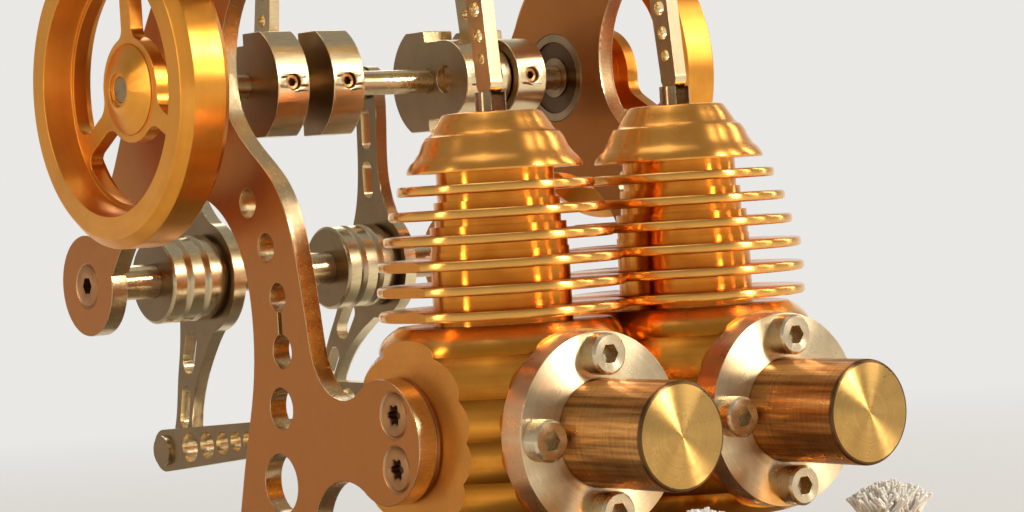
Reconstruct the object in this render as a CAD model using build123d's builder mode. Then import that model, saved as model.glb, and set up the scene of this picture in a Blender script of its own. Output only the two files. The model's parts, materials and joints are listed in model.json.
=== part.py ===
from build123d import *
from math import asin, atan2, cos, degrees, hypot, radians, sin, sqrt

import os

os.makedirs("parts", exist_ok=True)

# Desktop twin-cylinder hot air engine. Sizes are in millimetres and degrees.
# The working frame has X along the crankshaft, the hot caps towards -Y and +Z up.
# Its origin lies midway between the two cylinders, at the height of the hot caps.

# Stand
foot_height = 4.0
foot_radius = 7.0
foot_inset = 13.0
base_length = 208.0
base_width = 140.0
base_thickness = 8.0
base_corner = 9.0
base_edge = 1.2
axis_above_base = 46.0
cylinder_y = -34.0

# Two units side by side
pitch = 41.5
unit_x = pitch / 2
running_gap = 0.05
side_gap = 0.3
seat_gap = 0.02

# Cylinder block: a turned, waved ball with milled flats and a finned barrel
ball_radius = 26.8
ball_half_height = 18.4
wave_pitch = 6.9
wave_depth = 1.2
side_flat = 20.6
front_flat = 20.0
rear_flat = 21.0
fin_radii = (21.4, 21.5, 21.2, 19.9, 18.8, 17.1)
fin_first = 20.4
fin_pitch = 4.24
fin_thickness = 1.7
fin_corner = 0.5
core_radii = (12.0, 12.0, 12.0, 11.8, 10.9, 10.2)
barrel_top = 44.5
power_bore = 8.0
power_bore_depth = 31.5
transfer_port = 2.2
displacer_bore = 8.2
displacer_bore_end = 14.0
rod_radius = 1.5
gland_radius = 5.0
gland_length = 5.5
gland_hex = 11.0

# Cylinder head
head_top = 54.5
head_waves = ((15.2, 45.2), (14.5, 46.3), (13.8, 46.9), (12.9, 48.1), (12.3, 49.6),
              (11.6, 50.6), (10.6, 51.3), (9.8, 52.6), (8.9, 54.0), (7.9, 54.5))
head_counterbore = 4.3
head_counterbore_depth = 6.0

# Hot end
flange_radius = 16.9
flange_thickness = 5.2
cap_radius = 9.0
cap_wall = 0.8
cap_end = 45.6
cap_bevel = 0.9
cap_lip = 1.6
cap_lip_thickness = 1.4
screw_circle = 13.1
screw_radius = 2.0
screw_head_radius = 3.5
screw_head_height = 3.4
screw_length = 12.0
hex_socket = 3.0

# Side plates, each seated on its cylinder block through a thin shim
plate_thickness = 3.5
shim_thickness = 0.65
shim_inset = 0.5
shim_clearance = 0.15
lobe_radius = 10.7
lobe_place = (2.9, -0.2)
plate_screw_y = -0.8
plate_screw_spacing = 9.1
plate_screw_head = 3.85
plate_screw_length = 12.0
screw_clearance = 0.25
countersink_depth = 2.0
plate_holes = ((2.6, 41.0, 41.4), (2.6, 35.8, 33.4), (2.5, 32.9, 24.6), (3.0, 32.5, 15.0),
               (3.7, 33.9, 4.9), (5.3, 35.4, -8.5))
plate_slot = (1.2, 6.0)
plate_slot_place = (32.7, 20.0)

# Crank
crank_y = 62.0
crank_z = 63.4
throw = 6.2
shaft_radius = 2.35
pin_radius = 2.6
rod_thickness = 2.2
web_thickness = 7.0
web_hub = 7.6
web_fan = 11.5
web_half_height = 9.8
web_screw = 1.5
big_end = 5.8
gap_start = -3.6
bearing_radius = 8.9

# Flywheels
wheel_radius = 28.9
wheel_width = 10.0
wheel_face = 40.6
wheel_bevel = 1.85
rim_inner = 22.9
rim_taper = 1.0
spoke_plane = 5.3
spoke_thickness = 2.7
spoke_width = 3.6
window_radius = 21.0
wheel_hub = 9.7
cone_radius = 8.3
cone_top = 3.5
cone_height = 2.4
boss_radius = 7.0

# Rocking beams
beam_y = 29.0
beam_z = 105.0
beam_front_arm = 24.0
beam_thickness = 3.0
beam_hub = 7.0
beam_end = 4.2
beam_shaft_radius = 3.0
beam_start = 2.1
piston_link_thickness = 2.6
piston_link_foot = 59.5
piston_rod_radius = 2.7
piston_rod_top = 58.0
piston_length = 13.0
piston_crown = 26.0

# Levers
lever_y = 102.0
lever_z = 27.4
lever_thickness = 2.7
lever_start = 2.1
lever_boss = 11.2
lever_top = (12.5, 36.0)
lever_foot = (13.7, -35.1)
lever_shaft_radius = 3.4
collar_radius = 8.6
collar_length = 12.2
disc_radius = 9.9
shaft_screw_head = 4.3
shaft_screw_length = 12.0
crosshead_gap = 9.57
bar_thickness = 3.6
fork_depth = 5.5
bar_rear_radius = 4.3
bar_front_radius = 2.3
bar_pin_head = 3.1
bar_first_hole = 3.0
bar_hole_start = 10.2
bar_hole_step = 6.8
bar_shrink = 0.87
eye_thickness = 1.3
displacer_radius = 7.5
displacer_length = 26.0

# Blocks that hold the side plates on the base, and the bars that tie them together
foot_block = (10.0, 16.0, 10.0)
foot_block_places = (16.0, 56.0)
tie_radius = 3.0
tie_places = ((41.5, 92.0), (36.0, -24.0))

# Burners
burner_y = 49.0
tank_radius = 17.0
tank_height = 21.0
tube_radius = 5.0
tube_top = 16.5
wick_radius = 3.9
wick_top = 10.8

# Places that several pieces share
shaft_end = wheel_face - spoke_plane + cone_height - 0.6
rod_start = gap_start + side_gap
link_start = rod_start + rod_thickness + side_gap
gap_end = link_start + rod_thickness + side_gap
rear_arm = crank_y - beam_y
shaft_places = ((beam_y, beam_z), (lever_y, lever_z))
base_top = -axis_above_base
plate_inner = side_flat + shim_thickness
plate_outer = plate_inner + plate_thickness
rod_length = hypot(throw, beam_z - crank_z)


def meeting_point(first, first_reach, second, second_reach):
    """The upper point that lies at the given reaches from two pins."""
    span = hypot(second[0] - first[0], second[1] - first[1])
    along = (first_reach**2 - second_reach**2 + span**2) / (2 * span)
    aside = sqrt(first_reach**2 - along**2)
    ahead = ((second[0] - first[0]) / span, (second[1] - first[1]) / span)
    return (
        first[0] + along * ahead[0] + aside * ahead[1],
        first[1] + along * ahead[1] - aside * ahead[0],
    )


# The left crank pin is at the rear and the right one at the front
left_pin = (crank_y + throw, crank_z)
right_pin = (crank_y - throw, crank_z)
left_link_rear = (lever_y + lever_top[0], lever_z + lever_top[1])
link_length = hypot(left_link_rear[0] - left_pin[0], left_link_rear[1] - left_pin[1])
right_link_rear = meeting_point(
    (lever_y, lever_z), hypot(*lever_top), right_pin, link_length
)
lever_swing = degrees(
    atan2(right_link_rear[1] - lever_z, right_link_rear[0] - lever_y)
    - atan2(lever_top[1], lever_top[0])
)
left_foot_pin = (lever_y + lever_foot[0], lever_z + lever_foot[1])
swing_cos = cos(radians(lever_swing))
swing_sin = sin(radians(lever_swing))
right_foot_pin = (
    lever_y + lever_foot[0] * swing_cos - lever_foot[1] * swing_sin,
    lever_z + lever_foot[0] * swing_sin + lever_foot[1] * swing_cos,
)
left_crosshead = rear_flat + gland_length + crosshead_gap
bar_length = hypot(left_foot_pin[0] - left_crosshead, left_foot_pin[1])
right_crosshead = right_foot_pin[0] - sqrt(bar_length**2 - right_foot_pin[1] ** 2)

left_unit = Pos(-unit_x, 0, 0)
right_unit = Pos(unit_x, 0, 0)
mirror_plane = Plane.YZ


def along_x(x, y=0.0, z=0.0):
    """Sketch plane across the crankshaft: local x is Y, local y is Z."""
    return Plane(origin=(x, y, z), x_dir=(0, 1, 0), z_dir=(1, 0, 0))


def facing_front(y, x=0.0, z=0.0):
    """Sketch plane that faces the hot caps: local x is X, local y is Z."""
    return Plane(origin=(x, y, z), x_dir=(1, 0, 0), z_dir=(0, -1, 0))


def ball(z):
    return sqrt(ball_radius**2 - z**2)


# Stand
with BuildPart() as base_plate:
    with BuildSketch(Plane.XY.offset(base_top - base_thickness)):
        with Locations((0, -cylinder_y)):
            RectangleRounded(base_width, base_length, base_corner)
    extrude(amount=base_thickness)
    chamfer(base_plate.faces().sort_by(Axis.Z)[-1].edges(), base_edge)

with BuildPart() as feet:
    with BuildSketch(Plane.XY.offset(base_top - base_thickness)):
        with Locations((0, -cylinder_y)):
            with GridLocations(
                base_width - 2 * foot_inset, base_length - 2 * foot_inset, 2, 2
            ):
                Circle(foot_radius)
    extrude(amount=-foot_height, taper=8)

# Cylinder block
with BuildPart() as cylinder_block:
    with BuildSketch(Plane.XZ):
        with BuildLine():
            rim = ball(ball_half_height) - wave_depth
            heights = [n * wave_pitch for n in range(-2, 3)]
            heights = [-ball_half_height] + heights + [ball_half_height]
            Line((0, -ball_half_height), (rim, -ball_half_height))
            for low, high in zip(heights, heights[1:]):
                middle = (low + high) / 2
                ThreePointArc(
                    (ball(low) - wave_depth, low),
                    (ball(middle) - wave_depth / 4, middle),
                    (ball(high) - wave_depth, high),
                )
            Line((rim, ball_half_height), (0, ball_half_height))
            Line((0, ball_half_height), (0, -ball_half_height))
        make_face()
    revolve(axis=Axis.Z)
    with BuildSketch(Plane.XZ):
        with BuildLine():
            neck = [(0, ball_half_height)]
            for n, core in enumerate(core_radii):
                low = ball_half_height if n == 0 else fin_first + (n - 0.5) * fin_pitch
                top = n == len(core_radii) - 1
                high = barrel_top if top else fin_first + (n + 0.5) * fin_pitch
                neck += [(core, low), (core, high)]
            neck = [p for n, p in enumerate(neck) if n == 0 or p != neck[n - 1]]
            Polyline(*neck, (0, barrel_top), close=True)
        make_face()
    revolve(axis=Axis.Z)
    for n, fin in enumerate(fin_radii):
        with BuildSketch(Plane.XZ) as fin_plan:
            with BuildLine():
                z = fin_first + n * fin_pitch
                half = fin_thickness / 2
                root = core_radii[n] - 1
                Polyline((root, z - half), (fin, z - half), (fin, z + half), (root, z + half),
                         close=True)
            make_face()
            edge_corners = fin_plan.vertices().sort_by(Axis.X)[-2:]
            fillet(edge_corners, fin_corner)
        revolve(axis=Axis.Z)
    # Milled flats: both sides, the flange seat and the gland seat
    with Locations((side_flat, 0, 0)):
        Box(ball_radius, 3 * ball_radius, 4 * ball_radius,
            align=(Align.MIN, Align.CENTER, Align.CENTER), mode=Mode.SUBTRACT)
    with Locations((-side_flat, 0, 0)):
        Box(ball_radius, 3 * ball_radius, 4 * ball_radius,
            align=(Align.MAX, Align.CENTER, Align.CENTER), mode=Mode.SUBTRACT)
    with Locations((0, -front_flat, 0)):
        Box(3 * ball_radius, ball_radius, 2 * ball_half_height,
            align=(Align.CENTER, Align.MAX, Align.CENTER), mode=Mode.SUBTRACT)
    with Locations((0, rear_flat, 0)):
        Box(3 * ball_radius, ball_radius, 2 * ball_half_height,
            align=(Align.CENTER, Align.MIN, Align.CENTER), mode=Mode.SUBTRACT)
    # Displacer bore, rod bore, power bore and the port between them
    with BuildSketch(facing_front(-front_flat)):
        Circle(displacer_bore)
    extrude(amount=-(front_flat + displacer_bore_end), mode=Mode.SUBTRACT)
    with BuildSketch(facing_front(displacer_bore_end)):
        Circle(rod_radius + running_gap)
    extrude(amount=-ball_radius, mode=Mode.SUBTRACT)
    with BuildSketch(Plane.XY.offset(barrel_top)):
        Circle(power_bore)
    extrude(amount=-power_bore_depth, mode=Mode.SUBTRACT)
    with BuildSketch(Plane.XY.offset(barrel_top - power_bore_depth)):
        Circle(transfer_port)
    extrude(amount=-(barrel_top - power_bore_depth - displacer_bore / 2), mode=Mode.SUBTRACT)
    with BuildSketch(facing_front(-front_flat)):
        with PolarLocations(screw_circle, 4):
            Circle(screw_radius + seat_gap)
    extrude(amount=-(screw_length - flange_thickness + 1), mode=Mode.SUBTRACT)
    for side in (-1, 1):
        with BuildSketch(along_x(side * side_flat, plate_screw_y)):
            with GridLocations(0, plate_screw_spacing, 1, 2):
                Circle(screw_radius + seat_gap)
        extrude(amount=-side * plate_screw_length / 2, mode=Mode.SUBTRACT)

with BuildPart() as cylinder_head:
    with BuildSketch(Plane.XZ):
        with BuildLine():
            rim_radius = head_waves[0][0]
            shoulder_radius = head_waves[-1][0]
            Line((0, barrel_top), (rim_radius, barrel_top))
            Line((rim_radius, barrel_top), head_waves[0])
            Spline(*head_waves)
            Line((shoulder_radius, head_top), (0, head_top))
            Line((0, head_top), (0, barrel_top))
        make_face()
    revolve(axis=Axis.Z)
    with BuildSketch(Plane.XY.offset(head_top)):
        Circle(piston_rod_radius + running_gap)
    extrude(amount=-(head_top - barrel_top), mode=Mode.SUBTRACT)
    with BuildSketch(Plane.XY.offset(head_top)):
        Circle(head_counterbore)
    extrude(amount=-head_counterbore_depth, mode=Mode.SUBTRACT)

with BuildPart() as rod_gland:
    with BuildSketch(facing_front(rear_flat)):
        RegularPolygon(gland_hex / 2, 6, major_radius=False)
        Circle(rod_radius + running_gap, mode=Mode.SUBTRACT)
    extrude(amount=-gland_length * 0.6)
    with BuildSketch(facing_front(rear_flat + gland_length * 0.6)):
        Circle(gland_radius * 0.8)
        Circle(rod_radius + running_gap, mode=Mode.SUBTRACT)
    extrude(amount=-gland_length * 0.4)

# Hot end
with BuildPart() as hot_flange:
    with BuildSketch(facing_front(-front_flat)):
        Circle(flange_radius)
        Circle(cap_radius + seat_gap, mode=Mode.SUBTRACT)
        with PolarLocations(screw_circle, 4):
            Circle(screw_radius + 0.15, mode=Mode.SUBTRACT)
    extrude(amount=flange_thickness)
    with BuildSketch(facing_front(-front_flat)):
        Circle(cap_radius + cap_lip + seat_gap)
    extrude(amount=cap_lip_thickness + seat_gap, mode=Mode.SUBTRACT)
    front_rim = hot_flange.edges().filter_by(GeomType.CIRCLE)
    front_rim = front_rim.filter_by(lambda e: abs(e.radius - flange_radius) < 0.1)
    chamfer(front_rim, 0.5)

with BuildPart() as hot_cap:
    with BuildSketch(Plane.XY):
        with BuildLine():
            end = -cap_end
            Polyline(
                (0, end), (cap_radius - cap_bevel, end), (cap_radius, end + cap_bevel),
                (cap_radius, -front_flat - cap_lip_thickness),
                (cap_radius + cap_lip, -front_flat - cap_lip_thickness),
                (cap_radius + cap_lip, -front_flat), (cap_radius - cap_wall, -front_flat),
                (cap_radius - cap_wall, end + 1.4), (0, end + 1.4), close=True,
            )
        make_face()
    revolve(axis=Axis.Y)

with BuildPart() as flange_screws:
    face = -front_flat - flange_thickness
    with BuildSketch(facing_front(face)):
        with PolarLocations(screw_circle, 4):
            Circle(screw_head_radius)
    extrude(amount=screw_head_height)
    with BuildSketch(facing_front(face)):
        with PolarLocations(screw_circle, 4):
            Circle(screw_radius)
    extrude(amount=-screw_length)
    with BuildSketch(facing_front(face - screw_head_height)):
        with PolarLocations(screw_circle, 4):
            RegularPolygon(hex_socket / 2, 6, major_radius=False)
    extrude(amount=-2.0, mode=Mode.SUBTRACT)

# Side plates
with BuildPart() as side_plate:
    with BuildSketch(along_x(-unit_x - plate_outer)):
        with BuildLine():
            Spline((21.2, 102.0), (25.0, 93.0), (34.5, 84.5), (43.0, 77.4), (46.4, 71.0),
                   (47.3, 65.0), (46.2, 58.8), (40.6, 51.8), (31.3, 43.8), (27.0, 34.0),
                   (25.4, 26.6), (24.2, 19.5), (22.3, 12.0), (18.6, 7.9), (14.0, 6.7),
                   (10.8, 7.4), (7.6, 9.4))
            Line((7.6, 9.4), lobe_place)
            Line(lobe_place, (8.6, -9.2))
            Spline((8.6, -9.2), (10.8, -8.0), (15.6, -7.2), (21.1, -9.0), (25.0, -14.5),
                   (24.5, -25.0), (17.0, -34.5), (6.0, base_top + 3))
            Line((6.0, base_top + 3), (6.0, base_top))
            Line((6.0, base_top), (66.0, base_top))
            Line((66.0, base_top), (66.0, base_top + 3))
            Spline((66.0, base_top + 3), (56.0, -30.0), (50.3, -16.0), (46.8, -4.0),
                   (42.8, 9.0), (41.8, 20.0), (43.8, 31.0), (49.8, 39.5), (60.8, 44.0),
                   (76.8, 41.5), (86.8, 35.0), (91.3, 29.5))
            Line((91.3, 29.5), (lever_y, lever_z))
            Line((lever_y, lever_z), (lever_y - 2.0, lever_z + disc_radius - 0.3))
            Spline((lever_y - 2.0, lever_z + disc_radius - 0.3), (91.8, 45.0), (82.8, 60.0),
                   (70.8, 79.0), (56.8, 92.0), (42.8, 101.0), (38.4, 107.0))
            Line((38.4, 107.0), (beam_y, beam_z))
            Line((beam_y, beam_z), (21.2, 102.0))
        make_face()
        with Locations(lobe_place):
            Circle(lobe_radius)
        with Locations((lever_y, lever_z)):
            Circle(disc_radius)
        with Locations((beam_y, beam_z)):
            Circle(disc_radius)
        for hole, y, z in plate_holes:
            with Locations((y, z)):
                Circle(hole, mode=Mode.SUBTRACT)
        with Locations(plate_slot_place):
            Rectangle(*plate_slot, mode=Mode.SUBTRACT)
        with Locations((crank_y, crank_z)):
            Circle(bearing_radius + seat_gap, mode=Mode.SUBTRACT)
    extrude(amount=plate_thickness)
    countersinks = [
        (plate_screw_head, plate_screw_y, spot * plate_screw_spacing / 2)
        for spot in (-1, 1)
    ]
    countersinks += [(shaft_screw_head, *shaft) for shaft in shaft_places]
    for head, y, z in countersinks:
        with BuildSketch(along_x(-unit_x - plate_outer, y, z)):
            Circle(head + screw_clearance)
        with BuildSketch(along_x(-unit_x - plate_outer + countersink_depth, y, z)):
            Circle(screw_radius + screw_clearance)
        loft(mode=Mode.SUBTRACT)
        with BuildSketch(along_x(-unit_x - plate_outer, y, z)):
            Circle(screw_radius + screw_clearance)
        extrude(amount=plate_thickness, mode=Mode.SUBTRACT)

with BuildPart() as cylinder_spacer:
    with BuildSketch(along_x(-unit_x - plate_inner)):
        with Locations(lobe_place):
            Circle(lobe_radius - shim_inset)
        with Locations((plate_screw_y, 0)):
            with GridLocations(0, plate_screw_spacing, 1, 2):
                Circle(screw_radius + shim_clearance, mode=Mode.SUBTRACT)
    extrude(amount=shim_thickness)

with BuildPart() as centre_spacer:
    with BuildSketch(along_x(side_flat - unit_x)):
        Circle(lobe_radius - shim_inset)
        with Locations((plate_screw_y, 0)):
            with GridLocations(0, plate_screw_spacing, 1, 2):
                Circle(screw_radius + shim_clearance, mode=Mode.SUBTRACT)
    extrude(amount=pitch - 2 * side_flat)

with BuildPart() as plate_screws:
    for spot in (-1, 1):
        place = (plate_screw_y, spot * plate_screw_spacing / 2)
        neck = -unit_x - plate_outer + countersink_depth
        with BuildSketch(along_x(-unit_x - plate_outer, *place)):
            Circle(plate_screw_head)
        with BuildSketch(along_x(neck, *place)):
            Circle(screw_radius)
        loft()
        with BuildSketch(along_x(neck, *place)):
            Circle(screw_radius)
        extrude(amount=plate_outer - side_flat - countersink_depth + plate_screw_length / 2 - 0.5)
        # Six-lobe socket
        with BuildSketch(along_x(-unit_x - plate_outer, *place)):
            with PolarLocations(1.2, 6):
                Circle(0.55)
            Circle(1.25)
        extrude(amount=1.6, mode=Mode.SUBTRACT)

# Countersunk screws that hold the plates to the ends of the two cross shafts
with BuildPart() as left_shaft_screws:
    for y, z in shaft_places:
        with BuildSketch(along_x(-unit_x - plate_outer, y, z)):
            Circle(shaft_screw_head)
        with BuildSketch(along_x(-unit_x - plate_outer + countersink_depth, y, z)):
            Circle(screw_radius)
        loft()
        with BuildSketch(along_x(-unit_x - plate_outer + countersink_depth, y, z)):
            Circle(screw_radius)
        extrude(amount=shaft_screw_length - countersink_depth)
        with BuildSketch(along_x(-unit_x - plate_outer, y, z)):
            RegularPolygon(hex_socket / 2, 6, major_radius=False)
        extrude(amount=1.8, mode=Mode.SUBTRACT)

with BuildPart() as shaft_screws:
    add(left_shaft_screws.part)
    add(mirror(left_shaft_screws.part, about=mirror_plane))

# Crank
web_a = gap_start - web_thickness
web_b = gap_end


def crank_web(start, side):
    """A web for a pin on the given side of the shaft, with its fan on the other."""
    with BuildPart() as web:
        with BuildSketch(along_x(start, crank_y, crank_z)):
            Circle(web_fan)
            Rectangle(2 * web_fan, 2 * web_half_height, mode=Mode.INTERSECT)
            with Locations((side * web_fan, 0)):
                Rectangle(2 * web_fan, 2 * web_fan, mode=Mode.SUBTRACT)
            Circle(web_hub)
            with Locations((side * throw / 2, 0)):
                Rectangle(throw, 2 * web_hub)
            with Locations((side * throw, 0)):
                Circle(web_hub)
            Circle(shaft_radius + seat_gap, mode=Mode.SUBTRACT)
            with Locations((side * throw, 0)):
                Circle(pin_radius + seat_gap, mode=Mode.SUBTRACT)
        extrude(amount=web_thickness)
        # Set screw holes from both ends, towards the shaft and towards the pin
        middle = start + web_thickness / 2
        with BuildSketch(facing_front(crank_y - side * web_fan, middle, crank_z)):
            Circle(web_screw)
        extrude(amount=-side * (web_fan - shaft_radius - 2), mode=Mode.SUBTRACT)
        pin_end = crank_y + side * (throw + web_hub)
        with BuildSketch(facing_front(pin_end, middle, crank_z)):
            Circle(web_screw)
        extrude(amount=side * (web_hub - pin_radius - 2), mode=Mode.SUBTRACT)
    return web.part


with BuildPart() as left_crank_webs:
    add(left_unit * crank_web(web_a, 1))
    add(left_unit * crank_web(web_b, 1))

with BuildPart() as right_crank_webs:
    add(right_unit * crank_web(web_a, -1))
    add(right_unit * crank_web(web_b, -1))

with BuildPart() as crankshaft:
    runs = (
        (-unit_x - shaft_end, -unit_x + gap_start),
        (-unit_x + gap_end, unit_x + gap_start),
        (unit_x + gap_end, unit_x + shaft_end),
    )
    for start, stop in runs:
        with BuildSketch(along_x(start, crank_y, crank_z)):
            Circle(shaft_radius)
        extrude(amount=stop - start)
    for unit, side in ((-unit_x, 1), (unit_x, -1)):
        with BuildSketch(along_x(unit + web_a + 1, crank_y + side * throw, crank_z)):
            Circle(pin_radius)
        extrude(amount=gap_end + web_thickness - web_a - 2)

with BuildPart() as left_bearing:
    with BuildSketch(along_x(-unit_x - plate_outer, crank_y, crank_z)):
        Circle(bearing_radius)
        Circle(shaft_radius + running_gap, mode=Mode.SUBTRACT)
    extrude(amount=plate_thickness)
    with BuildSketch(along_x(-unit_x - plate_outer, crank_y, crank_z)):
        Circle(bearing_radius - 1.6)
        Circle(shaft_radius + 1.6, mode=Mode.SUBTRACT)
    extrude(amount=0.5, mode=Mode.SUBTRACT)
    with BuildSketch(along_x(-unit_x - plate_inner, crank_y, crank_z)):
        Circle(bearing_radius - 1.6)
        Circle(shaft_radius + 1.6, mode=Mode.SUBTRACT)
    extrude(amount=-0.5, mode=Mode.SUBTRACT)

with BuildPart() as right_bearing:
    add(mirror(left_bearing.part, about=mirror_plane))

with BuildPart() as flywheel:
    outer = -unit_x - wheel_face
    inner = outer + wheel_width
    web_face = outer + spoke_plane
    web_back = web_face + spoke_thickness
    rim_foot = rim_inner - rim_taper
    # Rim and thin web, turned as one
    with BuildSketch(Plane.XY):
        with BuildLine():
            Polyline(
                (outer, rim_inner), (outer, wheel_radius - wheel_bevel),
                (outer + wheel_bevel, wheel_radius), (inner - wheel_bevel, wheel_radius),
                (inner, wheel_radius - wheel_bevel), (inner, rim_inner),
                (web_back, rim_foot), (web_back, 0), (web_face, 0), (web_face, rim_foot),
                close=True,
            )
        make_face()
    revolve(axis=Axis.X)
    # Three windows leave three narrow spokes that widen into the hub
    with BuildSketch(along_x(web_face)) as windows:
        Circle(window_radius)
        Circle(wheel_hub, mode=Mode.SUBTRACT)
        with PolarLocations(window_radius / 2, 3, start_angle=90):
            Rectangle(window_radius + 4, spoke_width, mode=Mode.SUBTRACT)
        corners = windows.vertices().sort_by(lambda v: hypot(v.Y, v.Z))
        fillet(corners[:6], 3.6)
        rim_corners = windows.vertices().sort_by(lambda v: hypot(v.Y, v.Z))[-6:]
        fillet(rim_corners, 2.2)
    extrude(amount=spoke_thickness, mode=Mode.SUBTRACT)
    # Coned hub outside, plain boss towards the plate
    with BuildSketch(Plane.XY):
        with BuildLine():
            hub_end = -unit_x - plate_outer - 1.2
            Polyline(
                (web_face - cone_height, 0), (web_face - cone_height, cone_top),
                (web_face - 0.3, cone_radius), (web_face, cone_radius),
                (web_back, cone_radius), (web_back, boss_radius),
                (hub_end, boss_radius), (hub_end, 0), close=True,
            )
        make_face()
    revolve(axis=Axis.X)
    with BuildSketch(along_x(outer)):
        Circle(shaft_radius + seat_gap)
    extrude(amount=2 * wheel_width, mode=Mode.SUBTRACT)
    with BuildSketch(along_x(web_face - cone_height)):
        Circle(cone_top - 0.4)
    extrude(amount=0.5, mode=Mode.SUBTRACT)

with BuildPart() as left_flywheel:
    add(Pos(0, crank_y, crank_z) * flywheel.part)

with BuildPart() as right_flywheel:
    add(mirror(left_flywheel.part, about=mirror_plane))

# Crank rods, hung upright from each crank pin
def rod_plan(span, low_radius, high_radius, waist, holes):
    """A flat rod along local x: two eyes, a tapered waist and lightening holes."""
    with BuildSketch() as plan:
        with BuildLine():
            Polyline((0, -waist), (span, -waist * 0.7), (span, waist * 0.7), (0, waist),
                     close=True)
        make_face()
        Circle(low_radius)
        with Locations((span, 0)):
            Circle(high_radius)
        for share, hole in holes:
            with Locations((span * share, 0)):
                Circle(hole, mode=Mode.SUBTRACT)
    return plan.sketch


def tilted(x, y, z, angle):
    """Plane across the crankshaft whose local x points up from +Y by an angle."""
    return Plane(origin=(x, y, z), x_dir=(0, cos(angle), sin(angle)), z_dir=(1, 0, 0))


rod_holes = ((0.3, 1.1), (0.42, 1.1), (0.54, 1.1), (0.66, 1.0), (0.78, 0.9))


def crank_rod(unit, side):
    start = (crank_y + side * throw, crank_z)
    lean = atan2(beam_z - crank_z, -side * throw)
    with BuildPart() as rod:
        with BuildSketch(tilted(unit + rod_start, *start, lean)):
            add(rod_plan(rod_length, big_end, 3.6, 2.9, rod_holes))
            Circle(pin_radius + running_gap, mode=Mode.SUBTRACT)
        extrude(amount=rod_thickness)
        with BuildSketch(along_x(unit + rod_start, crank_y, beam_z)):
            Circle(1.6)
        extrude(amount=-0.5)
    return rod.part


def displacer_link(unit, side, rear):
    start = (crank_y + side * throw, crank_z)
    rise = atan2(rear[1] - start[1], rear[0] - start[0])
    with BuildPart() as link:
        with BuildSketch(tilted(unit + link_start, *start, rise)):
            add(rod_plan(link_length, big_end, 3.4, 2.6, ()))
            Circle(pin_radius + running_gap, mode=Mode.SUBTRACT)
        extrude(amount=rod_thickness)
        with BuildSketch(along_x(unit + link_start, *rear)):
            Circle(1.6)
        extrude(amount=-0.5)
    return link.part


with BuildPart() as left_crank_rod:
    add(crank_rod(-unit_x, 1))

with BuildPart() as right_crank_rod:
    add(crank_rod(unit_x, -1))

with BuildPart() as left_displacer_link:
    add(displacer_link(-unit_x, 1, left_link_rear))

with BuildPart() as right_displacer_link:
    add(displacer_link(unit_x, -1, right_link_rear))

# Rocking beams
with BuildPart() as beam_shaft:
    shaft_half = unit_x + plate_inner - seat_gap
    with BuildSketch(along_x(-shaft_half, beam_y, beam_z)):
        Circle(beam_shaft_radius)
    extrude(amount=2 * shaft_half)
    for end in (-1, 1):
        with BuildSketch(along_x(end * shaft_half, beam_y, beam_z)):
            Circle(screw_radius + seat_gap)
        extrude(amount=-end * shaft_screw_length, mode=Mode.SUBTRACT)

with BuildPart() as beam:
    with BuildSketch(along_x(beam_start, beam_y, beam_z)):
        with BuildLine():
            Polyline((-beam_front_arm, -2.6), (0, -5.4), (rear_arm, -2.6), (rear_arm, 2.6),
                     (0, 5.4), (-beam_front_arm, 2.6), close=True)
        make_face()
        Circle(beam_hub)
        with Locations((-beam_front_arm, 0), (rear_arm, 0)):
            Circle(beam_end)
        with Locations((-0.62 * beam_front_arm, 0), (0.62 * rear_arm, 0)):
            Circle(2.0, mode=Mode.SUBTRACT)
        with Locations((-0.43 * beam_front_arm, 0), (0.43 * rear_arm, 0)):
            Circle(2.3, mode=Mode.SUBTRACT)
    extrude(amount=beam_thickness)
    with BuildSketch(along_x(beam_start + beam_thickness, beam_y, beam_z)):
        Circle(beam_hub - 1.5)
    extrude(amount=4)
    with BuildSketch(along_x(beam_start, beam_y, beam_z)):
        Circle(beam_hub - 1.5)
    extrude(amount=-6)
    with BuildSketch(along_x(beam_start - 6, beam_y, beam_z)):
        Circle(beam_shaft_radius + running_gap)
    extrude(amount=beam_thickness + 10, mode=Mode.SUBTRACT)
    with BuildSketch(along_x(beam_start, beam_y + rear_arm, beam_z)):
        Circle(2.4)
    extrude(amount=-(beam_start - rod_start - rod_thickness - side_gap))
    with BuildSketch(along_x(beam_start, beam_y - beam_front_arm, beam_z)):
        Circle(2.4)
    extrude(amount=-(beam_start - 1.5 - side_gap))
    with BuildSketch(along_x(1.5 + side_gap, beam_y - beam_front_arm, beam_z)):
        Circle(1.5)
    extrude(amount=-(3.0 + 2 * side_gap))

with BuildPart() as left_beam:
    add(left_unit * beam.part)

with BuildPart() as right_beam:
    add(right_unit * beam.part)

link_drop = beam_z - piston_link_foot
link_reach = beam_y - beam_front_arm
link_lean = atan2(-link_drop, -link_reach)

with BuildPart() as piston_link:
    with BuildSketch(tilted(-piston_link_thickness / 2, link_reach, beam_z, link_lean)):
        add(rod_plan(hypot(link_drop, link_reach), 3.6, 2.1, 2.9,
                     ((0.22, 1.7), (0.36, 1.6), (0.49, 1.5), (0.61, 1.4), (0.72, 1.3),
                      (0.82, 1.2), (0.91, 1.0))))
        Circle(1.5 + running_gap, mode=Mode.SUBTRACT)
    extrude(amount=piston_link_thickness)

with BuildPart() as left_piston_link:
    add(left_unit * piston_link.part)

with BuildPart() as right_piston_link:
    add(right_unit * piston_link.part)

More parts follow.
